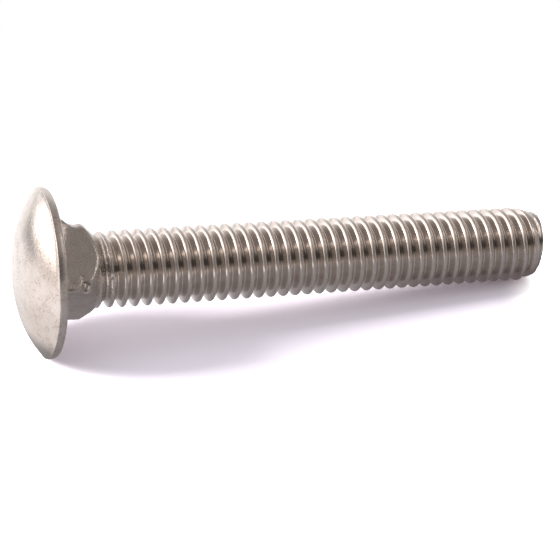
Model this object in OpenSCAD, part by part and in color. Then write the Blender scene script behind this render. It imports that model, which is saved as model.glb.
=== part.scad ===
// Carriage bolt: shallow domed head, square neck under it, and a shank with a
// right-hand thread along its whole length. It is one forged and rolled piece.
// It lies on the floor on the head's rim and on the crests by its tip, with the
// head at -X. The middle of its footprint is at the origin and +Z is up.

/* [Head] */
// Width of the head across its rim
head_d = 20.7; // [18:0.1:26]
// Height of the dome above the rim
dome_h = 3.1; // [2:0.1:5]
// Thickness of the rim under the dome
rim_h = 1.15; // [0.8:0.05:2]
// Rounding of the rim's edge on the dome side
rim_front_r = 0.15; // [0.1:0.05:0.3]
// Rounding of the rim's edge on the bearing side
rim_rear_r = 0.55; // [0.2:0.05:0.6]

/* [Square neck] */
// Width of the neck across its flats
neck_w = 9.5; // [9.2:0.05:11]
// Width of the neck across its blunt corners
neck_corner_d = 12.4; // [11.4:0.1:12.8]
// Length of the neck at its full section
neck_len = 3.5; // [2.5:0.1:5]
// Length over which the corners taper down to the shank
neck_taper_len = 1.8; // [1:0.1:3]
// Diameter of the shank where the taper ends
neck_end_d = 8.8; // [8:0.1:9.4]
// Radius of the cove between the neck and the head
cove_r = 1.2; // [0.4:0.1:1.4]

/* [Thread] */
// Length of the bolt under its head
shank_len = 63.5; // [40:0.5:90]
// Diameter over the thread's crests
thread_d = 9.45; // [8.6:0.05:9.5]
// Distance from one crest to the next
pitch = 1.5875; // [1.25:0.0125:1.75]
// Included angle between the thread's flanks
flank_angle = 60; // [50:1:70]
// Width of the flat on each crest, as a share of the pitch
crest_share = 0.22; // [0.1:0.01:0.3]
// Width of the flat in each root, as a share of the pitch
root_share = 0.1; // [0.05:0.01:0.2]
// Length over which the first groove sinks to its full depth
run_out_len = 0.9; // [0.5:0.1:3]
// Diameter to which the tip tapers at its end
tip_d = 8; // [7:0.1:8.4]
// Length of the taper at the tip
tip_taper_len = 2.6; // [1:0.1:4]
// Rounding of the edge at the tip's end
tip_edge_r = 0.5; // [0.2:0.1:0.8]
// Where the first crest stands, as turns about the shank
thread_turn = 0.39; // [0:0.01:1]
// Roll of the bolt about its own length
roll = 40.5; // [0:0.5:360]

/* [Smoothness] */
// Straight steps in one turn of the thread
turn_steps = 20; // [12:2:24]

/* [Hidden] */
$fn = 64;

head_r = head_d / 2;
thread_r = thread_d / 2;
tip_r = tip_d / 2;
neck_corner_r = neck_corner_d / 2;

// The dome is a cap of a sphere that meets the rim at its rounded edge
cap_r = head_r - rim_front_r;
dome_r = (cap_r * cap_r + dome_h * dome_h) / (2 * dome_h);
dome_centre = -rim_h - dome_h + dome_r;

// The cove reaches a little under the bearing face, so it meets it at an angle
cove_centre = 0.85 * cove_r;
neck_end = neck_len + neck_taper_len;

// Thread section, from the crest down one flank, along the root and up again
crest_w = crest_share * pitch;
root_w = root_share * pitch;
flank_w = (pitch - crest_w - root_w) / 2;
thread_depth = flank_w / tan(flank_angle / 2);
root_r = thread_r - thread_depth;

// The run-out's cone passes the root and ends inside the shank
core_r = 0.9 * root_r;
run_out_h = run_out_len * (neck_end_d / 2 - core_r) / (neck_end_d / 2 - root_r);

section = [
    [thread_r, 0],
    [thread_r, crest_w],
    [root_r, crest_w + flank_w],
    [root_r, crest_w + flank_w + root_w],
];

// The thread starts inside the neck and runs past the tip, whose shape trims it
thread_start = neck_end - 1.5 * pitch;
thread_turns = ceil((shank_len - thread_start) / pitch);
stations = thread_turns * turn_steps;

// Slope of the tip's taper, and the centre of the rounding at its end
tip_slope = atan((thread_r - tip_r) / tip_taper_len);
tip_flat_r = tip_r - tip_edge_r * (1 - sin(tip_slope)) / cos(tip_slope);

// How far the axis drops toward the tip when the bolt lies on the rim's rounding
// and on a point of the shank that is z from the head and r from the axis
function tilt_on(z, r) = let (run = z + rim_rear_r, drop = head_r - rim_rear_r - r)
    atan2(drop, run) + asin(rim_rear_r / norm([run, drop]));

// On the side that lies on the floor, the end of the last whole crest, and the
// highest point of the next one, which the taper trims. The first to touch holds
taper_z = shank_len - tip_taper_len;
floor_crest = thread_start + crest_w - pitch * (roll / 360 + thread_turn);
last_crest = floor_crest + pitch * floor((taper_z - floor_crest) / pitch);
next_crest = max(last_crest + pitch - crest_w, taper_z);
rest_tilt = min(
    tilt_on(last_crest, thread_r),
    tilt_on(next_crest, thread_r - (next_crest - taper_z) * tan(tip_slope))
);

// Height of the head's underside on the axis, and how far the ends reach from it
rest_lift = (head_r - rim_rear_r) * cos(rest_tilt) - rim_rear_r * sin(rest_tilt) + rim_rear_r;
reach_back = dome_centre * cos(rest_tilt) - dome_r;
reach_front = (shank_len - tip_edge_r) * cos(rest_tilt) + tip_flat_r * sin(rest_tilt)
    + tip_edge_r;

function station_angle(i) = 360 * (i / turn_steps + thread_turn);
function station_rise(i) = thread_start + i * pitch / turn_steps;
function section_point(i, j) = let (a = station_angle(i), r = section[j][0])
    [r * cos(a), r * sin(a), station_rise(i) + section[j][1]];

// Corners of the thread's surface: four at every station, then one more turn of
// crest edges that closes the last groove, then a point on the axis at each end
thread_points = concat(
    [for (i = [0 : stations], j = [0 : 3]) section_point(i, j)],
    [for (i = [stations + 1 : stations + turn_steps]) section_point(i, 0)],
    [
        [0, 0, station_rise(0) - pitch / 2],
        [0, 0, station_rise(stations) + 1.5 * pitch],
    ]
);
start_point = 4 * (stations + 1) + turn_steps;
end_point = start_point + 1;

// Number of a corner: past the section's last point comes the next turn's crest
function corner(i, j) = j < 4
    ? (i <= stations ? 4 * i + j : 4 * (stations + 1) + i - stations - 1)
    : corner(i + turn_steps, 0);

thread_faces = concat(
    [for (i = [0 : stations - 1], j = [0 : 3], half = [0, 1]) half == 0
        ? [corner(i, j), corner(i, j + 1), corner(i + 1, j + 1)]
        : [corner(i, j), corner(i + 1, j + 1), corner(i + 1, j)]],
    [for (i = [0 : turn_steps - 1]) [start_point, corner(i, 0), corner(i + 1, 0)]],
    [for (j = [0 : 3]) [start_point, corner(0, j + 1), corner(0, j)]],
    [for (i = [stations : stations + turn_steps - 1]) [end_point, corner(i + 1, 0), corner(i, 0)]],
    [for (j = [0 : 3]) [end_point, corner(stations, j), corner(stations, j + 1)]]
);

// Rim of the head, with its two rounded edges, and the cap of the dome
module head() {
    rotate_extrude() union() {
        translate([0, -rim_h]) square([head_r - rim_rear_r, rim_h]);
        translate([0, -rim_h + rim_front_r])
            square([head_r, rim_h - rim_front_r - rim_rear_r]);
        intersection() {
            translate([head_r - rim_rear_r, -rim_rear_r]) circle(rim_rear_r);
            translate([0, -rim_rear_r]) square([head_r, rim_rear_r]);
        }
        intersection() {
            translate([head_r - rim_front_r, -rim_h + rim_front_r]) circle(rim_front_r);
            translate([0, -rim_h]) square([head_r, rim_front_r]);
        }
    }
    intersection() {
        translate([0, 0, dome_centre]) sphere(dome_r, $fn = 160);
        translate([0, 0, -rim_h - dome_h]) cylinder(r = cap_r, h = dome_h + rim_h / 2);
    }
}

// What the neck's four coves and flats leave out on one side
module beside_neck() {
    cove_x = neck_w / 2 + cove_r;
    translate([cove_x, head_r, cove_centre]) rotate([90, 0, 0]) cylinder(r = cove_r, h = head_d);
    translate([neck_w / 2, -head_r, cove_centre])
        cube([head_r, head_d, neck_end + run_out_h]);
}

// Square neck with blunt corners that taper to the shank, and a cove at the head
module neck() {
    cove_x = neck_w / 2 + cove_r;
    intersection() {
        difference() {
            translate([-cove_x, -cove_x, -rim_h / 2])
                cube([2 * cove_x, 2 * cove_x, rim_h / 2 + neck_end + run_out_h]);
            for (side = [0 : 90 : 270]) rotate([0, 0, side]) beside_neck();
        }
        union() {
            rotate_extrude() difference() {
                translate([0, -rim_h / 2])
                    square([neck_corner_r + cove_r, rim_h / 2 + cove_centre]);
                translate([neck_corner_r + cove_r, cove_centre]) circle(cove_r);
            }
            cylinder(r = neck_corner_r, h = neck_len);
            translate([0, 0, neck_len])
                cylinder(r1 = neck_corner_r, r2 = neck_end_d / 2, h = neck_taper_len);
            translate([0, 0, neck_end])
                cylinder(r1 = neck_end_d / 2, r2 = core_r, h = run_out_h);
        }
    }
}

// Outline of the blank that the thread is rolled on: its tip tapers to a round edge
module blank_outline() {
    edge_z = shank_len - tip_edge_r;
    polygon([
        [0, thread_start + pitch],
        [thread_r + 1, thread_start + pitch],
        [thread_r + 1, taper_z - 1 / tan(tip_slope)],
        [tip_flat_r + tip_edge_r * cos(tip_slope), edge_z + tip_edge_r * sin(tip_slope)],
        [tip_flat_r, edge_z],
        [0, edge_z],
    ]);
    translate([tip_flat_r, edge_z]) circle(tip_edge_r);
    translate([0, taper_z]) square([tip_flat_r, tip_taper_len]);
}

module thread() {
    intersection() {
        polyhedron(thread_points, thread_faces);
        rotate_extrude() blank_outline();
    }
}

module carriage_bolt() {
    color("silver")
        translate([-(reach_back + reach_front) / 2, 0, rest_lift])
            rotate([0, 90 + rest_tilt, 0]) rotate([0, 0, roll]) {
                head();
                neck();
                thread();
            }
}

carriage_bolt();
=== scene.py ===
"""Looks of a stainless carriage bolt that lies on a pale floor in soft studio light.

The bolt is one closed mesh. Its sizes are in millimetres and its own length runs
along local Z, with the underside of the head at zero and the tip at the top. The
finished mesh is then laid down as the solid of the frame lies.
"""

import logging
import math
from dataclasses import dataclass, field, fields
from enum import Enum

import bpy
import numpy as np
from mathutils import Matrix, Quaternion, Vector, noise


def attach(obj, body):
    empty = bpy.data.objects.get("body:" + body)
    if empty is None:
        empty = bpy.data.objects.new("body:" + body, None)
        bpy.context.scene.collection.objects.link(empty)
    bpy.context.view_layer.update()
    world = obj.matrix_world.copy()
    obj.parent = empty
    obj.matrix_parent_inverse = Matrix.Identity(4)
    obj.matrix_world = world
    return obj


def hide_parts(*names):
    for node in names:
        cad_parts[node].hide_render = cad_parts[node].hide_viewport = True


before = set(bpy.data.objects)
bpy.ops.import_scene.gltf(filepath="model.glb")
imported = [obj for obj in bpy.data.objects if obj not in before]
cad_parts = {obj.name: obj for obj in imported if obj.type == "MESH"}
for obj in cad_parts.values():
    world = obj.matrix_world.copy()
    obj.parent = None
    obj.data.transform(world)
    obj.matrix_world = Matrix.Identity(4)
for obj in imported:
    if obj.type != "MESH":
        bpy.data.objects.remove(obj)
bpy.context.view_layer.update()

LOG = logging.getLogger("carriage_bolt")
MM = 0.001
NODE = "carriage_bolt"
BODY = "root"
Triple = tuple[float, float, float]
Color = Triple
Span = tuple[float, float]
WHITE: Color = (1.0, 1.0, 1.0)


def smooth_step(low: float, high: float, x: np.ndarray) -> np.ndarray:
    """Rises smoothly from 0 at low to 1 at high.

    Args:
        low: Where the step starts.
        high: Where the step ends. It may be below low, for a falling step.
        x: Values to look up.

    Returns:
        Values from 0 to 1.
    """
    t = np.clip((x - low) / (high - low), 0, 1)
    return t * t * (3 - 2 * t)


def soft_min(a: np.ndarray, b: np.ndarray, blend: float) -> np.ndarray:
    """The lower of two surfaces, with the edge between them rounded.

    Args:
        a: Radii of the first surface.
        b: Radii of the second surface.
        blend: Difference within which they blend.

    Returns:
        Radii of the rounded surface.
    """
    h = np.clip(0.5 + 0.5 * (b - a) / blend, 0, 1)
    return b + (a - b) * h - blend * h * (1 - h)


def soft_max(a: np.ndarray, b: np.ndarray, blend: float) -> np.ndarray:
    """The higher of two surfaces, with the corner between them filled a little."""
    return -soft_min(-a, -b, blend)


def lumps(x: np.ndarray, y: np.ndarray, z: np.ndarray, size: float) -> np.ndarray:
    """Smooth noise at points in space, always the same for the same points.

    Args:
        x: First coordinates of the points, in millimetres.
        y: Second coordinates.
        z: Third coordinates.
        size: Size of one lump, in millimetres.

    Returns:
        Values from about -1 to 1, in the shape of x.
    """
    points = np.stack([x, y, z], -1).reshape(-1, 3) / size
    values = [noise.noise(Vector(p)) for p in points]
    return np.array(values).reshape(x.shape)


def turn_from(angles: np.ndarray, middle: float) -> np.ndarray:
    """How far angles lie from a middle one.

    Args:
        angles: Angles in radians.
        middle: The middle, in degrees.

    Returns:
        Differences in degrees, from -180 to 180.
    """
    return (np.degrees(angles) - middle + 180) % 360 - 180


@dataclass(frozen=True)
class Grain:
    """Coarse lumps with finer ones on them, with their sizes in millimetres."""

    coarse: float
    fine: float
    fine_share: float

    def at(self, angles: np.ndarray, radii: np.ndarray, heights: np.ndarray) -> np.ndarray:
        """Looks the grain up at points about the axis.

        Args:
            angles: Angles about the axis, in radians.
            radii: Distances from the axis.
            heights: Places along the axis.

        Returns:
            Values in the shape of the heights.
        """
        x, y = radii * np.cos(angles), radii * np.sin(angles)
        return lumps(x, y, heights, self.coarse) + self.fine_share * lumps(x, y, heights, self.fine)


@dataclass(frozen=True)
class Columns:
    """The straight lines along the bolt on which every point of its mesh lies."""

    count: int = 140
    focus: float = 225.0
    focus_width: float = 20.0
    focus_gain: float = 0.9
    samples: int = 721

    @property
    def angles(self) -> np.ndarray:
        """Angle of each column about the bolt's axis, in radians, closer together at the focus."""
        fine = np.linspace(0, 2 * math.pi, self.samples)
        near = np.exp(-((turn_from(fine, self.focus) / self.focus_width) ** 2))
        weight = np.cumsum(1 + self.focus_gain * near)
        share = (weight - weight[0]) / (weight[-1] - weight[0])
        return np.interp(np.arange(self.count) / self.count, share, fine)

    def ring(self, value: float) -> np.ndarray:
        """One value for every column."""
        return np.full(self.count, float(value))


@dataclass
class Skin:
    """A closed mesh that is made ring by ring, from one end of the axis to the other."""

    columns: Columns
    points: list[np.ndarray] = field(default_factory=list)
    faces: list[np.ndarray] = field(default_factory=list)
    total: int = 0

    def add_points(self, angles: np.ndarray, radii: np.ndarray, heights: np.ndarray) -> np.ndarray:
        """Adds points given about the axis.

        Args:
            angles: Angles about the axis, in radians.
            radii: Distances from the axis.
            heights: Places along the axis.

        Returns:
            The new points' numbers.
        """
        self.points.append(np.stack([radii * np.cos(angles), radii * np.sin(angles), heights], -1))
        ids = np.arange(self.total, self.total + len(angles))
        self.total += len(angles)
        return ids

    def add_ring(self, radii: np.ndarray, heights: np.ndarray) -> np.ndarray:
        """Adds one point on every column and returns their numbers."""
        return self.add_points(self.columns.angles, radii, heights)

    def add_centre(self, height: float) -> np.ndarray:
        """Adds one point on the axis and returns its number for every column."""
        ids = self.add_points(np.zeros(1), np.zeros(1), np.array([height]))
        return np.repeat(ids, self.columns.count)

    def bridge(self, first: np.ndarray, second: np.ndarray) -> None:
        """Joins two rings with faces.

        Args:
            first: Numbers of the ring that comes first along the surface.
            second: Numbers of the next ring.
        """
        self.faces.append(np.stack([first, np.roll(first, -1), np.roll(second, -1), second], -1))

    def follow(self, start: np.ndarray, radii: np.ndarray, heights: np.ndarray) -> np.ndarray:
        """Carries the surface on through more rings.

        Args:
            start: Numbers of the ring that it starts from.
            radii: One row of radii for each new ring.
            heights: One row of heights for each new ring.

        Returns:
            Numbers of the last ring.
        """
        for ring_radii, ring_heights in zip(radii, heights):
            ids = self.add_ring(ring_radii, ring_heights)
            self.bridge(start, ids)
            start = ids
        return start

    def mesh(self, name: str) -> bpy.types.Mesh:
        """Makes the mesh, in metres, with faces whose corners have merged made smaller.

        Args:
            name: Name of the new mesh.

        Returns:
            The mesh, smooth shaded.
        """
        points = np.concatenate(self.points) * MM
        corners = [list(dict.fromkeys(face)) for face in np.concatenate(self.faces).tolist()]
        mesh = bpy.data.meshes.new(name)
        mesh.from_pydata(points.tolist(), [], [face for face in corners if len(face) > 2])
        mesh.validate()
        mesh.shade_smooth()
        return mesh


@dataclass(frozen=True)
class Head:
    """The domed head: a flat cap on a thin rim, with a plain bearing face behind.

    The crown makes the dome fuller half way out. The apex rises above a true cap and is
    shifted to the low side. The rim is wavy between its worn front and its worn rear,
    whose spans count from its own front and from the bearing face.
    """

    diameter: float = 20.7
    dome_height: float = 3.1
    rim_height: float = 1.15
    front_edge: float = 0.15
    rear_edge: float = 0.55
    apex_rise: float = 0.07
    crown: float = 0.16
    apex_shift: float = 0.35
    waviness: float = 0.035
    ripple_size: float = 2.4
    nick_size: float = 0.8
    worn_front: Span = (-0.1, 0.2)
    worn_rear: Span = (0.0, -0.4)
    dome_rings: int = 26
    dome_spacing: float = 0.85
    edge_rings: int = 5
    band_places: Span = (0.35, 0.7)
    face_places: tuple[float, ...] = (0.04, 0.3, 0.6, 0.85, 1.0)

    @property
    def radius(self) -> float:
        """Radius of the rim."""
        return self.diameter / 2

    @property
    def cap_radius(self) -> float:
        """Radius at which the dome meets the rim's rounded edge."""
        return self.radius - self.front_edge

    @property
    def dome_radius(self) -> float:
        """Radius of the sphere that the dome is a cap of."""
        return (self.cap_radius**2 + self.dome_height**2) / (2 * self.dome_height)

    @property
    def dome_centre(self) -> float:
        """Place of that sphere's centre along the axis."""
        return self.dome_radius - self.rim_height - self.dome_height

    def dome(self, columns: Columns, low_side: float) -> tuple[np.ndarray, np.ndarray]:
        """Rings of the dome, from near its middle to its edge.

        Args:
            columns: The mesh's columns.
            low_side: Angle of the side toward which the crown leans, in radians.

        Returns:
            Radii and heights, a row for each ring.
        """
        share = np.linspace(0, 1, self.dome_rings + 1)[1:] ** self.dome_spacing
        radii = np.outer(share * self.cap_radius, np.ones(columns.count))
        heights = self.dome_centre - np.sqrt(self.dome_radius**2 - radii**2)
        share = radii / self.cap_radius
        bulge = self.crown * np.sin(math.pi * share**2) + self.apex_rise * (1 - share**2)
        lean = self.apex_shift * share * (1 - share**2) * np.cos(columns.angles - low_side)
        slope = self.dome_height / self.cap_radius
        return radii, heights - bulge - lean * slope

    def rim(self, columns: Columns) -> tuple[np.ndarray, np.ndarray]:
        """Rings from the dome's edge over the rim to the edge of the bearing face.

        Args:
            columns: The mesh's columns.

        Returns:
            Radii and heights, a row for each ring.
        """
        turn = np.linspace(0, math.pi / 2, self.edge_rings + 1)[1:, None]
        front_r = self.cap_radius + self.front_edge * np.sin(turn)
        front_z = -self.rim_height + self.front_edge * (1 - np.cos(turn))
        rear_r = self.radius - self.rear_edge * (1 - np.cos(turn))
        rear_z = self.rear_edge * (np.sin(turn) - 1)
        band = np.array(self.band_places)[:, None]
        band_z = front_z[-1] + (-self.rear_edge - front_z[-1]) * band
        radii = np.concatenate([front_r, np.full_like(band, self.radius), rear_r])
        heights = np.concatenate([front_z, band_z, rear_z])
        ones = np.ones(columns.count)
        radii, heights = radii * ones, heights * ones
        x, y = np.cos(columns.angles) * self.radius, np.sin(columns.angles) * self.radius
        ripple = lumps(x, y, np.zeros_like(x), self.ripple_size)
        nicks = lumps(x, y, np.ones_like(x), self.nick_size)
        edge = np.minimum(smooth_step(*self.worn_front, heights + self.rim_height),
                          smooth_step(*self.worn_rear, heights))
        radii -= self.waviness * (np.abs(ripple) + 0.5 * np.abs(nicks)) * edge
        return radii, heights

    def bearing_face(self, columns: Columns, inner: np.ndarray) -> tuple[np.ndarray, np.ndarray]:
        """Rings of the bearing face, from the rim in to the neck.

        Args:
            columns: The mesh's columns, not used.
            inner: Radius of the neck's foot on each column.

        Returns:
            Radii and heights, a row for each ring.
        """
        outer = self.radius - self.rear_edge
        share = np.array(self.face_places)[:, None]
        radii = outer + (inner - outer) * share
        return radii, np.zeros_like(radii)


@dataclass(frozen=True)
class Corner:
    """How one corner of the neck differs from a true one.

    The offsets say how far it stands out at each height, and the flare how far its
    foot swells. The rest is how rough it is.
    """

    angle: float
    heights: tuple[float, ...] = (0.0,)
    offsets: tuple[float, ...] = (0.0,)
    flare: float = 0.0
    rough: float = 0.05


@dataclass(frozen=True)
class Dent:
    """A mark of the forging: its place, half widths in degrees and millimetres, and depth."""

    angle: float
    height: float
    width: float
    length: float
    depth: float

    def sunk(self, angles: np.ndarray, heights: np.ndarray) -> np.ndarray:
        """How deep the surface is pressed in at points about the axis."""
        across = turn_from(angles, self.angle) / self.width
        along = (heights - self.height) / self.length
        return self.depth * np.exp(-(across**2) - along**2)


@dataclass(frozen=True)
class SquareNeck:
    """The square neck under the head, whose blunt corners taper down to the shank.

    Its surface is ragged between its worn front and its worn rear, whose spans count
    from the bearing face and from the end of the taper, and most of all at the corners.
    """

    width: float = 9.5
    corner_diameter: float = 12.4
    length: float = 3.5
    taper_length: float = 1.8
    end_diameter: float = 8.8
    cove: float = 1.2
    cove_height: float = 0.85
    corner_blend: float = 0.26
    flare_width: float = 20.0
    flare_span: Span = (1.9, 0.5)
    wear: float = 0.02
    worn_front: Span = (0.1, 0.9)
    worn_rear: Span = (0.4, -0.6)
    ragged_width: Span = (15.0, 3.0)
    grain: Grain = Grain(0.9, 0.4, 0.7)
    corners: tuple[Corner, ...] = (
        Corner(45, (3.0, 3.5, 4.2), (0.0, 0.08, 0.0)),
        Corner(135, (0.86, 1.72, 2.1, 2.46, 3.07, 3.5, 3.9),
               (0.5, 0.12, -0.12, -0.32, -0.4, -0.27, -0.05), 0.4),
        Corner(225, (1.2, 1.8, 2.3, 2.8, 3.4, 3.9), (0.35, 0.25, 0.05, -0.2, -0.12, 0.0), 0.0, 0.08),
        Corner(315),
    )
    dents: tuple[Dent, ...] = (
        Dent(222, 2.85, 5, 0.34, 0.24),
        Dent(213, 2.75, 3, 0.2, 0.12),
        Dent(228, 2.6, 3, 0.18, 0.1),
        Dent(239, 4.35, 2.5, 0.18, -0.1),
    )

    @property
    def end(self) -> float:
        """Where the taper ends, from the head."""
        return self.length + self.taper_length

    def foot(self, heights: np.ndarray) -> np.ndarray:
        """How far the cove flares out at each height."""
        drop = np.clip(self.cove * self.cove_height - heights, 0, self.cove)
        return self.cove - np.sqrt(self.cove**2 - drop**2)

    def corner_radius(self, heights: np.ndarray, core: float, sink: float) -> np.ndarray:
        """Distance of the blunt corners from the axis.

        Args:
            heights: Places along the axis.
            core: Radius to which the run-out sinks.
            sink: Length over which it does.

        Returns:
            Radii of the corners, the taper and the run-out.
        """
        places = [0, self.length, self.end, self.end + sink]
        radii = [self.corner_diameter / 2, self.corner_diameter / 2, self.end_diameter / 2, core]
        return np.interp(heights, places, radii)

    def radius(self, angles: np.ndarray, heights: np.ndarray, core: float, sink: float) -> np.ndarray:
        """Distance of the neck's surface from the axis.

        Args:
            angles: Angles about the axis, in radians.
            heights: Places along the axis.
            core: Radius to which the run-out sinks.
            sink: Length over which it does.

        Returns:
            Radii in millimetres.
        """
        quarter = math.pi / 2
        off_flat = (angles + quarter / 2) % quarter - quarter / 2
        foot = self.foot(heights)
        for corner in self.corners:
            near = np.exp(-((turn_from(angles, corner.angle) / self.flare_width) ** 2))
            foot = foot + corner.flare * near * smooth_step(*self.flare_span, heights)
        flat = (self.width / 2 + foot) / np.cos(off_flat)
        round_off = self.corner_radius(heights, core, sink) + foot
        for corner in self.corners:
            near = np.abs(turn_from(angles, corner.angle)) < 45
            round_off = round_off + near * np.interp(heights, corner.heights, corner.offsets)
        return soft_min(flat, round_off, self.corner_blend)

    def marks(self, angles: np.ndarray, heights: np.ndarray, radii: np.ndarray) -> np.ndarray:
        """Forging marks: dents, and ragged corners.

        Args:
            angles: Angles about the axis, in radians.
            heights: Places along the axis.
            radii: The neck's radii at these places.

        Returns:
            Heights of the marks above the surface, in millimetres.
        """
        ragged = self.grain.at(angles, radii, heights)
        fade = smooth_step(*self.worn_front, heights) * smooth_step(*self.worn_rear, heights - self.end)
        rough = np.full_like(heights, self.wear)
        for corner in self.corners:
            off = np.abs(turn_from(angles, corner.angle))
            rough = rough + corner.rough * smooth_step(*self.ragged_width, off)
        return rough * ragged * fade - sum(dent.sunk(angles, heights) for dent in self.dents)


@dataclass(frozen=True)
class RolledThread:
    """The rolled thread, with rounded crests and roots, and the tapered tip.

    The tip's slant holds how far its sheared end stands out all round, on its high side
    and on two sides. The rough turns say where the roughness ends and where it is full,
    in turns from the first crest.
    """

    diameter: float = 9.45
    pitch: float = 1.5875
    leans: tuple[Span, ...] = ((0.0, 0.0), (0.14, 0.5), (0.32, 0.87), (0.64, 0.9))
    crest_share: float = 0.22
    shank_length: float = 63.5
    tip_diameter: float = 8.0
    tip_taper: float = 2.6
    tip_edge: float = 0.5
    tip_slant: Triple = (-0.1, 0.316, 0.087)
    tip_high_side: float = 119.5
    tip_hollow: float = 0.12
    taper_blend: float = 0.05
    turn: float = 0.39
    lead_in: float = 1.5
    rough_turns: Span = (3.6, 1.6)
    rough_drop: float = 0.1
    rough_height: float = 0.07
    grain: Grain = Grain(0.45, 0.22, 0.5)
    row_places: tuple[float, ...] = (0.0, 0.08, 0.15, 0.22, 0.3, 0.38, 0.62, 0.7)
    profile_steps: int = 400

    @property
    def radius(self) -> float:
        """Radius over the crests."""
        return self.diameter / 2

    @property
    def root_radius(self) -> float:
        """Radius in the roots."""
        return float(self.profile(np.array(self.pitch / 2)))

    @property
    def taper_start(self) -> float:
        """Where the tip's taper starts."""
        return self.shank_length - self.tip_taper

    @property
    def end(self) -> float:
        """Where the middle of the end is, which is a little hollow."""
        return self.shank_length - self.tip_hollow

    @property
    def tip_slope(self) -> float:
        """Fall of the tip's taper, as a slope."""
        return (self.radius - self.tip_diameter / 2) / self.tip_taper

    @property
    def tip_flat(self) -> float:
        """Radius of the flat end inside the tip's rounded edge."""
        angle = math.atan(self.tip_slope)
        return self.tip_diameter / 2 - self.tip_edge * (1 - math.sin(angle)) / math.cos(angle)

    def sheared(self, angles: np.ndarray) -> np.ndarray:
        """How far the sheared end stands past its usual place on each side."""
        turn = np.radians(turn_from(angles, self.tip_high_side))
        level, once, twice = self.tip_slant
        return level + once * np.cos(turn) + twice * np.cos(2 * turn)

    def crest_height(self, neck_end: float, angles: np.ndarray) -> np.ndarray:
        """Where the first crest's middle stands on each column, counted from the neck."""
        first = neck_end - self.lead_in * self.pitch + self.crest_share * self.pitch / 2
        return first + self.pitch * (angles / (2 * math.pi) - self.turn)

    def profile(self, off_crest: np.ndarray) -> np.ndarray:
        """Radius of the thread at a distance from its crest's middle.

        The crest, flank and root are arcs and straight lines that run into each other.
        Each lean is a distance from the crest and the sine of the slope's angle there,
        and the middle of the root is level.

        Args:
            off_crest: Distances along the axis, up to half a pitch.

        Returns:
            Radii in millimetres.
        """
        places = np.linspace(0, self.pitch / 2, self.profile_steps)
        sine = np.interp(places, *np.array([*self.leans, (self.pitch / 2, 0.0)]).T)
        slope = sine / np.sqrt(1 - sine**2)
        drop = np.cumsum((slope[1:] + slope[:-1]) / 2 * np.diff(places))
        return self.radius - np.interp(off_crest, places[1:], drop, left=0)

    def strips(self) -> np.ndarray:
        """Places of the mesh's rows from one crest's middle to just before the next."""
        back = [self.pitch - place for place in self.row_places[:0:-1]]
        return np.array([*self.row_places, self.pitch / 2, *back])

    def surface(self, angles: np.ndarray, heights: np.ndarray, neck_end: float) -> np.ndarray:
        """Radius of the thread at points about the shank.

        Args:
            angles: Angles about the axis, in radians.
            heights: Places along the axis.
            neck_end: Where the neck's taper ends.

        Returns:
            Radii in millimetres, with the tip's taper but without the neck.
        """
        turns = (heights - self.crest_height(neck_end, angles)) / self.pitch
        off_crest = np.abs(turns - np.round(turns)) * self.pitch
        radii = self.profile(off_crest)
        young = smooth_step(*self.rough_turns, turns)
        rough = self.rough_height * self.grain.at(angles, radii, heights)
        radii = radii + (rough - self.rough_drop) * young
        taper = self.radius - (heights - self.taper_start) * self.tip_slope
        return soft_min(radii, taper, self.taper_blend)


@dataclass(frozen=True)
class Lie:
    """How the bolt lies on the floor: on the head's rim and on a crest by the tip."""

    roll: float
    tilt: float
    lift: float
    shift: float

    @classmethod
    def at_rest(cls, head: Head, neck: SquareNeck, thread: RolledThread, roll: float) -> "Lie":
        """Works out the lie from the sizes.

        Args:
            head: The head.
            neck: The neck.
            thread: The thread.
            roll: Roll of the bolt about its own length, in degrees.

        Returns:
            The lie, with the middle of the footprint at the origin.
        """
        run_in = neck.end - thread.lead_in * thread.pitch + thread.crest_share * thread.pitch
        on_floor = run_in - thread.pitch * (roll / 360 + thread.turn)
        whole = math.floor((thread.taper_start - on_floor) / thread.pitch)
        last = on_floor + thread.pitch * whole
        after = max(last + thread.pitch * (1 - thread.crest_share), thread.taper_start)
        trimmed = thread.radius - (after - thread.taper_start) * thread.tip_slope
        tilt = min(cls.tilt_on(head, last, thread.radius), cls.tilt_on(head, after, trimmed))
        cosine, sine = math.cos(tilt), math.sin(tilt)
        lift = (head.radius - head.rear_edge) * cosine - head.rear_edge * sine + head.rear_edge
        back = head.dome_centre * cosine - head.dome_radius
        front = (thread.shank_length - thread.tip_edge) * cosine + thread.tip_flat * sine
        return cls(math.radians(roll), tilt, lift, -(back + front + thread.tip_edge) / 2)

    @staticmethod
    def tilt_on(head: Head, height: float, radius: float) -> float:
        """Drop of the axis, in radians, when a point of the shank touches the floor.

        Args:
            head: The head, whose rear edge rests on the floor too.
            height: The point's distance from the head.
            radius: The point's distance from the axis.

        Returns:
            The angle of the drop toward the tip.
        """
        run = height + head.rear_edge
        drop = head.radius - head.rear_edge - radius
        return math.atan2(drop, run) + math.asin(head.rear_edge / math.hypot(run, drop))

    def matrix(self) -> Matrix:
        """The transform from the bolt's own frame to the shared one, in metres."""
        place = Matrix.Translation(Vector((self.shift, 0, self.lift)) * MM)
        down = Matrix.Rotation(math.pi / 2 + self.tilt, 4, "Y")
        return place @ down @ Matrix.Rotation(self.roll, 4, "Z")


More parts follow.
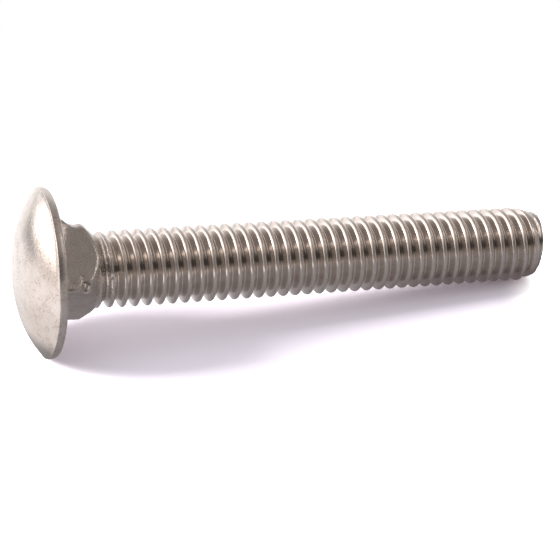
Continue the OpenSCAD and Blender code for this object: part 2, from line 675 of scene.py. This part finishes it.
@dataclass(frozen=True)
class CarriageBolt:
    """The whole bolt, forged and rolled as one piece."""

    head: Head = Head()
    neck: SquareNeck = SquareNeck()
    thread: RolledThread = RolledThread()
    columns: Columns = Columns()
    roll: float = 40.5
    run_out: float = 0.9
    core_share: float = 0.9
    lattice_start: float = 4.1
    neck_rings: int = 17
    cove_rings: int = 6
    tip_rings: int = 6
    end_places: tuple[float, ...] = (0.92, 0.7, 0.45, 0.2)
    collar_rings: int = 7
    collar: float = 1.3
    merge: float = 0.03
    shank_blend: float = 0.06
    tip_grain: Grain = Grain(0.7, 0.3, 0.7)
    tip_wear: Span = (0.06, 0.09)

    @property
    def lie(self) -> Lie:
        """How the bolt lies on the floor."""
        return Lie.at_rest(self.head, self.neck, self.thread, self.roll)

    @property
    def core(self) -> float:
        """Radius to which the run-out's cone sinks, inside the roots."""
        return self.core_share * self.thread.root_radius

    @property
    def sink(self) -> float:
        """Length over which the run-out's cone sinks."""
        neck_radius = self.neck.end_diameter / 2
        return self.run_out * (neck_radius - self.core) / (neck_radius - self.thread.root_radius)

    def shank_radius(self, angles: np.ndarray, heights: np.ndarray) -> np.ndarray:
        """Distance from the axis of everything behind the bearing face.

        Args:
            angles: Angles about the axis, in radians.
            heights: Places along the axis.

        Returns:
            Radii in millimetres.
        """
        neck = self.neck.radius(angles, heights, self.core, self.sink)
        near = heights < self.neck.end + self.sink
        marked = neck.copy()
        marked[near] += self.neck.marks(angles[near], heights[near], neck[near])
        thread = self.thread.surface(angles, heights, self.neck.end)
        started = heights > self.neck.length
        return np.where(started, soft_max(marked, thread, self.shank_blend), marked)

    def build_thread(self, skin: Skin, start: np.ndarray, end_height: float) -> np.ndarray:
        """Adds the rows that follow the thread's helix.

        Args:
            skin: The mesh so far.
            start: Numbers of the ring that the rows start from.
            end_height: Height of the flat ring on which they end.

        Returns:
            Numbers of that last ring.
        """
        angles, count = self.columns.angles, self.columns.count
        strips = self.thread.strips()
        per_turn = len(strips)
        turns = math.ceil((end_height - self.lattice_start) / self.thread.pitch) + 3
        rows = (np.arange(-1, turns)[:, None] * self.thread.pitch + strips).ravel()
        crest = self.thread.crest_height(self.neck.end, angles)
        heights = crest[:, None] + rows
        spread = np.broadcast_to(angles[:, None], heights.shape)
        end_heights = self.columns.ring(end_height)
        end = skin.add_ring(self.shank_radius(angles, end_heights), end_heights)
        low = heights < self.lattice_start + self.merge
        high = heights > end_height - self.merge
        inside = ~(low | high)
        ids = np.where(low, start[:, None], end[:, None])
        radii = self.shank_radius(spread[inside], heights[inside])
        ids[inside] = skin.add_points(spread[inside], radii, heights[inside])
        after = np.vstack([ids[1:, :-per_turn], ids[:1, per_turn:]])
        own = ids[:, :-per_turn]
        cells = [own[:, :-1], after[:, :-1], after[:, 1:], own[:, 1:]]
        skin.faces.append(np.stack(cells, -1).reshape(-1, 4))
        LOG.info("thread: %d turns of %d rows on %d columns", turns, per_turn, count)
        return end

    def build_mesh(self) -> bpy.types.Mesh:
        """Makes the whole surface, from the dome's middle to the middle of the tip.

        Returns:
            The closed mesh in the bolt's own frame, in metres.
        """
        skin = Skin(self.columns)
        angles = self.columns.angles
        low_side = -self.lie.roll
        ring = skin.add_centre(self.head.dome_centre - self.head.dome_radius)
        ring = skin.follow(ring, *self.head.dome(self.columns, low_side))
        ring = skin.follow(ring, *self.head.rim(self.columns))
        foot = self.shank_radius(angles, self.columns.ring(0))
        ring = skin.follow(ring, *self.head.bearing_face(self.columns, foot))
        cove_top = self.neck.cove * self.neck.cove_height
        cove = cove_top * np.sin(np.linspace(0, math.pi / 2, self.cove_rings + 1)[1:])
        plain = np.linspace(cove_top, self.lattice_start, self.neck_rings + 1)[1:]
        heights = np.outer(np.concatenate([cove, plain]), np.ones(self.columns.count))
        radii = np.array([self.shank_radius(angles, row) for row in heights])
        ring = skin.follow(ring, radii, heights)
        collar_start = self.thread.shank_length - self.collar
        ring = self.build_thread(skin, ring, collar_start)
        ring = skin.follow(ring, *self.tip_end(collar_start))
        skin.bridge(ring, skin.add_centre(self.thread.end))
        return skin.mesh(NODE)

    def tip_end(self, start: float) -> tuple[np.ndarray, np.ndarray]:
        """Rings of the last bit of thread, of the tip's rounded edge and of its end.

        Args:
            start: Height of the flat ring that they start from.

        Returns:
            Radii and heights, a row for each ring.
        """
        angles, thread = self.columns.angles, self.thread
        past = thread.sheared(angles)
        base = thread.shank_length - thread.tip_edge + past
        collar_z = start + np.outer(np.arange(1, self.collar_rings + 1) / self.collar_rings, base - start)
        collar_r = np.array([self.shank_radius(angles, row) for row in collar_z])
        first = math.atan(thread.tip_slope)
        turn = np.linspace(first, math.pi / 2, self.tip_rings + 1)[1:, None]
        taper = thread.radius - (base - thread.taper_start) * thread.tip_slope
        round_r = taper + thread.tip_edge * (np.cos(turn) - math.cos(first))
        round_z = base + thread.tip_edge * np.sin(turn)
        shank = np.array([self.shank_radius(angles, row) for row in round_z])
        ragged = self.tip_grain.at(angles, taper, base)
        inward, along = self.tip_wear
        late = np.linspace(0, 1, self.tip_rings)[:, None]
        round_r = np.minimum(round_r, shank) - inward * np.abs(ragged) * late
        round_z = round_z + along * ragged * late
        share = np.array(self.end_places)[:, None]
        end_r = share * round_r[-1]
        end_z = round_z[-1] * share + thread.end * (1 - share)
        return np.concatenate([collar_r, round_r, end_r]), np.concatenate([collar_z, round_z, end_z])

    def build(self, finish: "StainlessFinish") -> bpy.types.Object:
        """Makes the bolt, dresses it and lays it where the frame's solid lies.

        Args:
            finish: The finish of its surface.

        Returns:
            The finished piece.
        """
        bolt = bpy.data.objects.new("bolt", self.build_mesh())
        bpy.context.scene.collection.objects.link(bolt)
        bolt.data.transform(self.lie.matrix())
        bolt.data.materials.append(finish.material(self))
        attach(bolt, BODY)
        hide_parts(NODE)
        LOG.info("bolt: %d points, %d faces", len(bolt.data.vertices), len(bolt.data.polygons))
        return bolt


class Ray(Enum):
    """The kinds of ray that a shader can tell apart."""

    CAMERA = "Is Camera Ray"
    GLOSSY = "Is Glossy Ray"
    TRANSMISSION = "Is Transmission Ray"


class Wire:
    """An output of a shader node, with arithmetic that adds Math nodes."""

    def __init__(self, graph: "Graph", socket: bpy.types.NodeSocket) -> None:
        """Wraps a socket.

        Args:
            graph: The graph that the socket's node is in.
            socket: The output socket.
        """
        self.graph = graph
        self.socket = socket

    def __add__(self, other: "Wire | float") -> "Wire":
        """This plus the other."""
        return self.graph.math("ADD", self, other)

    def __radd__(self, other: float) -> "Wire":
        """The other plus this."""
        return self.graph.math("ADD", other, self)

    def __sub__(self, other: "Wire | float") -> "Wire":
        """This minus the other."""
        return self.graph.math("SUBTRACT", self, other)

    def __rsub__(self, other: float) -> "Wire":
        """The other minus this."""
        return self.graph.math("SUBTRACT", other, self)

    def __mul__(self, other: "Wire | float") -> "Wire":
        """This times the other."""
        return self.graph.math("MULTIPLY", self, other)

    def __rmul__(self, other: float) -> "Wire":
        """The other times this."""
        return self.graph.math("MULTIPLY", other, self)

    def __abs__(self) -> "Wire":
        """This without its sign."""
        return self.graph.math("ABSOLUTE", self)

    def step(self, low: float, high: float) -> "Wire":
        """Rises smoothly from 0 at low to 1 at high.

        Args:
            low: Where the step starts.
            high: Where the step ends. It may be below low, for a falling step.

        Returns:
            The step.
        """
        inputs = {"Value": self, "From Min": low, "From Max": high}
        return self.graph.add("MapRange", {"interpolation_type": "SMOOTHSTEP"}, inputs)


@dataclass(frozen=True)
class Texture:
    """A noise: its lumps per unit along each axis, its finer octaves and their strength."""

    scale: Triple
    detail: float = 3.0
    roughness: float = 0.5


class Graph:
    """The nodes of one material or of the world."""

    def __init__(self, tree: bpy.types.NodeTree) -> None:
        """Starts an empty graph.

        Args:
            tree: The node tree to fill.
        """
        self.tree = tree
        tree.nodes.clear()

    def node(self, kind: str, settings: dict | None = None, inputs: dict | None = None) -> bpy.types.Node:
        """Adds a node.

        Args:
            kind: Its type, without the ShaderNode in front.
            settings: Its settings, which are set first.
            inputs: Values or wires for its sockets, by name or number.

        Returns:
            The node.
        """
        node = self.tree.nodes.new("ShaderNode" + kind)
        for name, value in (settings or {}).items():
            setattr(node, name, value)
        for key, value in (inputs or {}).items():
            if isinstance(value, Wire):
                self.tree.links.new(value.socket, node.inputs[key])
            else:
                node.inputs[key].default_value = value
        return node

    def add(self, kind: str, settings: dict | None = None, inputs: dict | None = None,
            output: str | int = 0) -> Wire:
        """Adds a node and returns one of its outputs.

        Args:
            kind: Its type, without the ShaderNode in front.
            settings: Its settings, which are set first.
            inputs: Values or wires for its sockets, by name or number.
            output: The output, by name or number.

        Returns:
            That output.
        """
        return Wire(self, self.node(kind, settings, inputs).outputs[output])

    def axes(self, vector: Wire) -> list[Wire]:
        """The three coordinates of a vector."""
        node = self.node("SeparateXYZ", None, {0: vector})
        return [Wire(self, node.outputs[i]) for i in range(3)]

    def math(self, operation: str, *inputs: Wire | float) -> Wire:
        """Adds a Math node.

        Args:
            operation: The node's operation.
            inputs: Its inputs, in order.

        Returns:
            The result.
        """
        return self.add("Math", {"operation": operation}, dict(enumerate(inputs)))

    def scaled(self, vector: Wire, scale: Wire | Triple) -> Wire:
        """A vector or colour with each number multiplied by that of another."""
        return self.add("VectorMath", {"operation": "MULTIPLY"}, {0: vector, 1: scale})

    def noise(self, place: Wire, texture: Texture) -> Wire:
        """Noise from 0 to 1.

        Args:
            place: Where to look it up.
            texture: What it is like.

        Returns:
            The noise.
        """
        return self.add("TexNoise", None, {
            "Vector": self.scaled(place, texture.scale), "Scale": 1.0,
            "Detail": texture.detail, "Roughness": texture.roughness})

    def blend(self, share: Wire | float, first: Wire | Color, second: Wire | Color) -> Wire:
        """Mixes two colours.

        Args:
            share: Share of the second colour.
            first: The first colour.
            second: The second colour.

        Returns:
            The mixed colour.
        """
        inputs = {0: share, 6: opaque(first), 7: opaque(second)}
        return self.add("Mix", {"data_type": "RGBA"}, inputs, 2)

    def tinted(self, color: Wire, share: Wire, tint: Color) -> Wire:
        """A colour that is multiplied by a tint as far as the share says."""
        return self.scaled(color, self.blend(share, WHITE, tint))

    def ray(self, kind: Ray) -> Wire:
        """One for rays of this kind, and zero for the others."""
        return self.add("LightPath", None, None, kind.value)

    def sent_on(self) -> Wire:
        """One for rays that metal or glass sends on, and zero for the others."""
        return self.ray(Ray.GLOSSY) + self.ray(Ray.TRANSMISSION)

    def finish(self, shader: Wire, kind: str = "OutputMaterial") -> None:
        """Ends the graph with its output node."""
        self.node(kind, None, {"Surface": shader})


def opaque(color: Wire | Color) -> Wire | tuple[float, float, float, float]:
    """A colour with full alpha, as colour sockets take it."""
    return color if isinstance(color, Wire) else (*color, 1.0)


@dataclass(frozen=True)
class Strength:
    """How strong something is everywhere, and how much more or less on each surface."""

    everywhere: float = 0.0
    front: float = 0.0
    edge: float = 0.0
    forged: float = 0.0
    ridge: float = 0.0
    young: float = 0.0
    rolled: float = 0.0
    seam: float = 0.0


@dataclass(frozen=True)
class Zones:
    """Masks from 0 to 1 that say which surface of the bolt a point is on.

    They are the front of the head, its rim, the neck and its corners' ridges, the
    thread's rough start, the rest of it, and the seams along its crests.
    """

    front: Wire
    edge: Wire
    forged: Wire
    ridge: Wire
    young: Wire
    rolled: Wire
    seam: Wire

    def total(self, strength: Strength) -> Wire | float:
        """Adds up the strength at a point.

        Args:
            strength: The strength on each surface.

        Returns:
            The strength at the point.
        """
        total = strength.everywhere
        for zone in fields(self):
            share = getattr(strength, zone.name)
            if share:
                total = total + getattr(self, zone.name) * share
        return total


@dataclass(frozen=True)
class StainlessFinish:
    """Bare stainless steel: satin and mottled on the dome, smooth on the thread.

    Each edge is a span in millimetres from the size that it follows, apart from the
    seam's, which is in pitches from the crest's middle. The other spans are values of
    noise: the broad one shades the steel and gathers the pits in patches.
    """

    base: Color = (0.71, 0.642, 0.595)
    shade: Color = (0.64, 0.575, 0.53)
    neck_tint: Color = (0.78, 0.77, 0.77)
    pit_tint: Color = (0.66, 0.6, 0.56)
    dome_roughness: float = 0.2
    rim_roughness: float = 0.35
    neck_roughness: float = 0.26
    thread_roughness: float = 0.17
    seam_roughness: float = 0.28
    rim_edge: Span = (-0.05, 0.1)
    face_edge: Span = (-0.1, 0.1)
    ridge_edge: Span = (-0.35, -0.05)
    start_edge: Span = (-0.8, -0.2)
    rolled_edge: Span = (0.4, 2.2)
    seam_edge: Span = (0.03, 0.13)
    shade_span: Span = (0.35, 0.7)
    pit_span: Span = (0.5, 0.66)
    patch_span: Span = (0.45, 0.6)
    pits_between: float = 0.35
    cloud: Texture = Texture((0.7, 0.7, 0.7), 4.0, 0.6)
    speck: Texture = Texture((4.0, 4.0, 4.0), 3.0, 0.6)
    pits: Texture = Texture((3.6, 3.6, 3.6), 3.0, 0.75)
    drawn: Texture = Texture((9.0, 9.0, 0.6))
    turned: Texture = Texture((0.5, 0.5, 9.0))
    coarse: Texture = Texture((2.6, 2.6, 2.6), 3.0, 0.7)
    mottle: Strength = Strength(0.12, rolled=-0.084)
    speck_height: Strength = Strength(1.0, front=0.5, edge=1.2, forged=-0.8, rolled=-0.7, seam=1.2)
    drawn_height: Strength = Strength(0.2, forged=1.4)
    turned_height: Strength = Strength(0.35, forged=0.6)
    coarse_height: Strength = Strength(young=5.0, ridge=5.0)
    grain_height: float = 0.012

    def material(self, bolt: CarriageBolt) -> bpy.types.Material:
        """Makes the material in the bolt's own frame.

        Args:
            bolt: The bolt, whose sizes say where each zone ends.

        Returns:
            The material.
        """
        material = bpy.data.materials.new("stainless_steel")
        material.use_nodes = True
        graph = Graph(material.node_tree)
        lie = bolt.lie.matrix()
        place = graph.add("Mapping", {"vector_type": "TEXTURE"}, {
            "Vector": graph.add("TexCoord", None, None, "Object"),
            "Location": lie.translation, "Rotation": lie.to_euler(), "Scale": (MM,) * 3})
        zones = self.zones(graph, place, bolt)
        cloud, speck = graph.noise(place, self.cloud), graph.noise(place, self.speck)
        graph.finish(graph.add("BsdfPrincipled", None, {
            "Base Color": self.color(graph, place, zones, cloud),
            "Metallic": 1.0,
            "Roughness": self.roughness(zones, cloud, speck),
            "Normal": self.bump(graph, place, zones, speck)}))
        return material

    def zones(self, graph: Graph, place: Wire, bolt: CarriageBolt) -> Zones:
        """Tells the bolt's surfaces apart.

        Args:
            graph: The material's graph.
            place: The point in the bolt's own frame.
            bolt: The bolt.

        Returns:
            The masks.
        """
        x, y, z = graph.axes(place)
        neck, thread = bolt.neck, bolt.thread
        front = 1 - z.step(*self.face_edge)
        start = (z - neck.end).step(*self.start_edge)
        rolled = (z - neck.end).step(*self.rolled_edge)
        forged = (1 - front) * (1 - start)
        off_corner = (abs(x) + abs(y)) * math.sqrt(0.5) - neck.corner_diameter / 2
        first = float(thread.crest_height(neck.end, np.zeros(1))[0])
        turns = (z - first) * (1 / thread.pitch) - graph.math("ARCTAN2", y, x) * (0.5 / math.pi)
        off_crest = graph.math("PINGPONG", turns, 0.5)
        return Zones(
            front=front,
            edge=front * (z + bolt.head.rim_height).step(*self.rim_edge),
            forged=forged,
            ridge=forged * off_corner.step(*self.ridge_edge),
            young=start * (1 - rolled),
            rolled=rolled,
            seam=rolled * (1 - off_crest.step(*self.seam_edge)),
        )

    def color(self, graph: Graph, place: Wire, zones: Zones, cloud: Wire) -> Wire:
        """Colour of the steel, with pits on the head and a duller neck.

        Args:
            graph: The material's graph.
            place: The point in the bolt's own frame.
            zones: The bolt's surfaces.
            cloud: The broad noise.

        Returns:
            The colour.
        """
        color = graph.blend(cloud.step(*self.shade_span), self.base, self.shade)
        color = graph.tinted(color, zones.forged, self.neck_tint)
        pits = graph.noise(place, self.pits).step(*self.pit_span) * zones.front
        patches = self.pits_between + cloud.step(*self.patch_span) * (1 - self.pits_between)
        return graph.tinted(color, pits * patches, self.pit_tint)

    def roughness(self, zones: Zones, cloud: Wire, speck: Wire) -> Wire:
        """Roughness of the steel, which differs a little from place to place.

        Args:
            zones: The bolt's surfaces.
            cloud: The broad noise.
            speck: The fine noise.

        Returns:
            The roughness.
        """
        surfaces = Strength(
            self.neck_roughness,
            front=self.dome_roughness - self.neck_roughness,
            edge=self.rim_roughness - self.dome_roughness,
            rolled=self.thread_roughness - self.neck_roughness,
            seam=self.seam_roughness,
        )
        return zones.total(surfaces) + (cloud + speck - 1) * zones.total(self.mottle)

    def bump(self, graph: Graph, place: Wire, zones: Zones, speck: Wire) -> Wire:
        """Grain of the surface: flecks, lines along it and round it, and the forging's.

        Args:
            graph: The material's graph.
            place: The point in the bolt's own frame.
            zones: The bolt's surfaces.
            speck: The fine noise.

        Returns:
            The bumped normal.
        """
        height = (speck * zones.total(self.speck_height)
                  + graph.noise(place, self.drawn) * zones.total(self.drawn_height)
                  + graph.noise(place, self.turned) * zones.total(self.turned_height)
                  + graph.noise(place, self.coarse) * zones.total(self.coarse_height))
        inputs = {"Strength": 1.0, "Distance": self.grain_height * MM, "Height": height}
        return graph.add("Bump", None, inputs)


@dataclass(frozen=True)
class PaintedBand:
    """A stripe of the floor's painted reflection, which fades in and then lasts until the next one."""

    start: float
    full: float
    color: Color


@dataclass(frozen=True)
class FloorFinish:
    """White table top whose painted reflection is dim in front of the bolt and bright behind it.

    Places are in millimetres on the floor, and a span holds where a change starts and
    where it is complete. The shown colours are the camera's own, the second of them
    painted light past the tip, and the plain one meets the room's light. The rest is
    painted reflection: colours that glow by place, with painted shade in front of the
    bolt and where it touches, painted light behind it and beside the head, and a painted
    dark patch at the far corner.
    """

    shown: Color = (1.68, 1.58, 1.77)
    # Painted light past the tip: the camera sees the floor there brighter, so the bolt's shadow doesn't
    # show.
    painted_light_past_tip: Color = (4.0, 4.0, 4.0)
    painted_light_zone: Span = (29.0, 36.0)
    painted_light_skew: float = 0.32
    plain: Color = (0.8, 0.8, 0.8)
    # Painted reflection from here on: the front is painted shade in front of the bolt, and the bands rise
    # to painted light behind it.
    front: Color = (0.34, 0.33, 0.34)
    painted_bands: tuple[PaintedBand, ...] = (
        PaintedBand(-80.0, -40.0, (0.46, 0.45, 0.47)),
        PaintedBand(-34.0, -22.0, (0.4, 0.39, 0.41)),
        PaintedBand(-12.0, -7.0, (0.31, 0.3, 0.31)),
        PaintedBand(-3.0, 2.5, (0.42, 0.405, 0.42)),
        PaintedBand(2.0, 5.0, (0.78, 0.76, 0.79)),
        PaintedBand(5.0, 30.0, (1.18, 1.15, 1.15)),
        PaintedBand(30.0, 60.0, (1.3, 1.28, 1.28)),
    )
    # Painted light beside the head: the metal sees the floor there bright, brighter farther out.
    head_side: Span = (-32.5, -37.0)
    painted_light_near_head: Color = (1.0, 0.96, 0.95)
    painted_light_past_head: Color = (1.3, 1.27, 1.28)
    head_reach: Span = (7.0, 27.0)
    # Painted dark patch in the reflection of the far corner.
    far_x: Span = (-55.0, -78.0)
    far_y: Span = (55.0, 78.0)
    painted_dark_corner: Color = (0.74, 0.69, 0.66)
    # Painted contact shade in the reflection, under the bolt toward the tip, where it comes down to the
    # floor.
    touch_x: Span = (4.0, 20.0)
    touch_y: float = 0.5
    touch_width: Span = (3.0, 6.5)
    painted_contact_shade: Color = (0.56, 0.49, 0.52)

    def material(self) -> bpy.types.Material:
        """Makes the material.

        Returns:
            The material.
        """
        material = bpy.data.materials.new("table_top")
        material.use_nodes = True
        graph = Graph(material.node_tree)
        place = graph.scaled(graph.add("TexCoord", None, None, "Object"), (1 / MM,) * 3)
        x, y, _ = graph.axes(place)
        # Painted light past the tip, which hides the bolt's shadow there.
        painted_light_zone = (x - y * self.painted_light_skew).step(*self.painted_light_zone)
        shown = graph.blend(painted_light_zone, self.shown, self.painted_light_past_tip)
        color = graph.blend(graph.ray(Ray.CAMERA), self.plain, shown)
        top = graph.add("BsdfDiffuse", None, {"Color": color})
        # The metal sees a painted reflection that glows, instead of the lit table top.
        painted_reflection = graph.add("Emission", None, {"Color": self.painted_floor_reflection(graph, x, y)})
        graph.finish(graph.add("MixShader", None, {0: graph.sent_on(), 1: top, 2: painted_reflection}))
        return material

    def painted_floor_reflection(self, graph: Graph, x: Wire, y: Wire) -> Wire:
        """Painted reflection of the floor, which the metal sees: glowing colours given by place.

        Args:
            graph: The material's graph.
            x: Place along the bolt.
            y: Place across it, away from the camera.

        Returns:
            The painted light from that place, which glows and isn't lit by the room.
        """
        # Painted shade in front of the bolt, darkest just before it, and painted light behind it.
        color = self.front
        for band in self.painted_bands:
            color = graph.blend(y.step(band.start, band.full), color, band.color)
        # Painted light on the floor beside the head, brighter farther out.
        past = x - self.head_side[0]
        reach = graph.math("SQRT", past * past + y * y)
        beside = graph.blend(reach.step(*self.head_reach), self.painted_light_near_head, self.painted_light_past_head)
        color = graph.blend(x.step(*self.head_side), color, beside)
        # Painted dark patch in the far corner of the reflection.
        color = graph.blend(x.step(*self.far_x) * y.step(*self.far_y), color, self.painted_dark_corner)
        # Painted contact shade under the bolt toward the tip.
        contact_shade_mask = x.step(*self.touch_x) * (1 - abs(y - self.touch_y).step(*self.touch_width))
        return graph.tinted(color, contact_shade_mask, self.painted_contact_shade)


@dataclass(frozen=True)
class Floor:
    """Round table top under the bolt."""

    radius: float = 115.0
    sides: int = 128
    rings: int = 4

    def build(self, finish: FloorFinish) -> bpy.types.Object:
        """Makes the table top at the height that the bolt rests on.

        Args:
            finish: Its finish.

        Returns:
            The table top, which isn't part of the bolt.
        """
        skin = Skin(Columns(self.sides))
        steps = np.linspace(0, 1, self.rings + 1)[1:]
        radii = np.outer(steps * self.radius, np.ones(self.sides))
        centre = skin.add_centre(0.0)
        skin.follow(centre, radii, np.zeros_like(radii))
        mesh = skin.mesh("table_top")
        mesh.flip_normals()
        floor = bpy.data.objects.new("table_top", mesh)
        floor.data.materials.append(finish.material())
        bpy.context.scene.collection.objects.link(floor)
        LOG.info("table top: %.0f mm across", 2 * self.radius)
        return floor


def toward(azimuth: float, elevation: float) -> Vector:
    """Unit vector toward a place in the room.

    Args:
        azimuth: Angle from +X toward +Y, in degrees.
        elevation: Angle above the floor, in degrees.

    Returns:
        The vector.
    """
    turn, rise = math.radians(azimuth), math.radians(elevation)
    flat = math.cos(rise)
    return Vector((flat * math.cos(turn), flat * math.sin(turn), math.sin(rise)))


@dataclass(frozen=True)
class Softbox:
    """A large soft lamp that faces the bolt. The metal sees the room's panels in its place."""

    azimuth: float = 168.0
    elevation: float = 29.0
    radiance: float = 28.0
    width: float = 220.0
    height: float = 240.0
    distance: float = 600.0
    tint: Color = (1.0, 0.98, 0.95)

    def build(self) -> bpy.types.Object:
        """Makes the lamp.

        Returns:
            The lamp's object.
        """
        direction = toward(self.azimuth, self.elevation)
        lamp = bpy.data.lights.new("softbox", "AREA")
        lamp.shape = "RECTANGLE"
        lamp.size, lamp.size_y = self.width * MM, self.height * MM
        lamp.energy = self.radiance * math.pi * lamp.size * lamp.size_y
        lamp.color = self.tint
        softbox = bpy.data.objects.new("softbox", lamp)
        softbox.location = direction * self.distance * MM
        softbox.rotation_mode = "QUATERNION"
        softbox.rotation_quaternion = direction.to_track_quat("Z", "Y")
        softbox.visible_glossy = False
        bpy.context.scene.collection.objects.link(softbox)
        LOG.info("softbox: %.1f W", lamp.energy)
        return softbox


@dataclass(frozen=True)
class Panel:
    """A part of the room that is brighter or darker than the rest, with soft edges.

    Angles are in degrees. Each pair holds where the panel is full and where it ends.
    """

    azimuth: float
    spread: Span
    top: Span
    bottom: Span
    radiance: float

    def glow(self, graph: Graph, flat: Wire, up: Wire) -> Wire:
        """What the panel adds to the room's light.

        Args:
            graph: The world's graph.
            flat: The direction without its height, at a length of one.
            up: The direction's height.

        Returns:
            The added radiance.
        """
        axis = toward(self.azimuth, 0.0)
        inputs = {0: flat, 1: axis}
        beside = graph.add("VectorMath", {"operation": "DOT_PRODUCT"}, inputs, 1)
        full, end = (math.cos(math.radians(angle)) for angle in self.spread)
        top, over = (math.sin(math.radians(angle)) for angle in self.top)
        bottom, under = (math.sin(math.radians(angle)) for angle in self.bottom)
        share = beside.step(end, full) * (1 - up.step(top, over)) * up.step(under, bottom)
        return share * self.radiance


@dataclass(frozen=True)
class Room:
    """Light from a white tent round the bolt.

    The metal sees the panels, the ground below them and the two tints, the cool one
    behind the bolt. Everything else meets the plain level.
    """

    plain: Color = (0.5, 0.5, 0.5)
    level: float = 0.34
    below: float = 0.95
    ground: Span = (-0.09, -0.02)
    warm: Color = (1.045, 0.97, 0.93)
    cool: Color = (1.0, 0.985, 0.985)
    cool_side: Span = (0.0, 0.9)
    panels: tuple[Panel, ...] = (
        Panel(azimuth=100, spread=(22, 66), top=(8, 68), bottom=(2, -3), radiance=1.0),
        Panel(azimuth=163, spread=(20, 46), top=(52, 82), bottom=(6, -3), radiance=1.3),
        Panel(azimuth=170, spread=(6, 15), top=(33, 42), bottom=(18, 9), radiance=3.5),
        Panel(azimuth=208, spread=(8, 40), top=(62, 84), bottom=(50, 22), radiance=0.7),
        Panel(azimuth=262, spread=(38, 58), top=(34, 60), bottom=(17, 6), radiance=-0.29),
        Panel(azimuth=345, spread=(1, 11), top=(39, 49), bottom=(36, 27), radiance=3.0),
        Panel(azimuth=331, spread=(1, 6), top=(49, 53), bottom=(47, 43), radiance=1.8),
        Panel(azimuth=130, spread=(8, 18), top=(-2, 1.5), bottom=(-9, -14), radiance=-0.62),
    )

    def build(self) -> bpy.types.World:
        """Makes the world, which the camera itself sees as plain white.

        Returns:
            The world.
        """
        world = bpy.data.worlds.new("room")
        world.use_nodes = True
        graph = Graph(world.node_tree)
        direction = graph.add("TexCoord", None, None, "Generated")
        _, away, up = graph.axes(direction)
        level = graph.scaled(direction, (1.0, 1.0, 0.0))
        flat = graph.add("VectorMath", {"operation": "NORMALIZE"}, {0: level})
        light = self.level + (1 - up.step(*self.ground)) * self.below
        for panel in self.panels:
            light = light + panel.glow(graph, flat, up)
        tint = graph.blend(away.step(*self.cool_side), self.warm, self.cool)
        seen = graph.add("VectorMath", {"operation": "SCALE"}, {0: tint, "Scale": light})
        color = graph.blend(graph.sent_on(), self.plain, seen)
        color = graph.blend(graph.ray(Ray.CAMERA), color, WHITE)
        graph.finish(graph.add("Background", None, {"Color": color}), "OutputWorld")
        bpy.context.scene.world = world
        LOG.info("room: %d panels", len(self.panels))
        return world


@dataclass(frozen=True)
class ProductCamera:
    """The camera, in front of the bolt on the head's side, looking down on it."""

    from_head: Triple = (-40.18, -216.42, 110.15)
    forward: Triple = (0.27097, 0.84868, -0.45422)
    roll: float = -0.396
    lens: float = 131.05
    clip: Span = (0.01, 10.0)

    def build(self, lie: Lie) -> bpy.types.Object:
        """Makes the camera.

        Args:
            lie: The bolt's lie, whose place the camera's is counted from.

        Returns:
            The camera's object.
        """
        camera = bpy.data.cameras.new("product_camera")
        camera.lens = self.lens
        camera.sensor_width = 36.0
        camera.clip_start, camera.clip_end = self.clip
        place = bpy.data.objects.new("product_camera", camera)
        place.location = (Vector((lie.shift, 0, lie.lift)) + Vector(self.from_head)) * MM
        place.rotation_mode = "QUATERNION"
        level = Vector(self.forward).to_track_quat("-Z", "Y")
        place.rotation_quaternion = level @ Quaternion((0, 0, 1), math.radians(self.roll))
        bpy.context.scene.collection.objects.link(place)
        bpy.context.scene.camera = place
        LOG.info("camera: %.0f mm lens", self.lens)
        return place


def main() -> None:
    """Builds the camera, the bolt, the floor and the light in order."""
    logging.basicConfig(level=logging.INFO, format="%(name)s: %(message)s")
    bolt = CarriageBolt()
    ProductCamera().build(bolt.lie)
    bolt.build(StainlessFinish())
    Floor().build(FloorFinish())
    Softbox().build()
    Room().build()
    bpy.context.scene.view_settings.view_transform = "Standard"


if __name__ == "__main__":
    main()
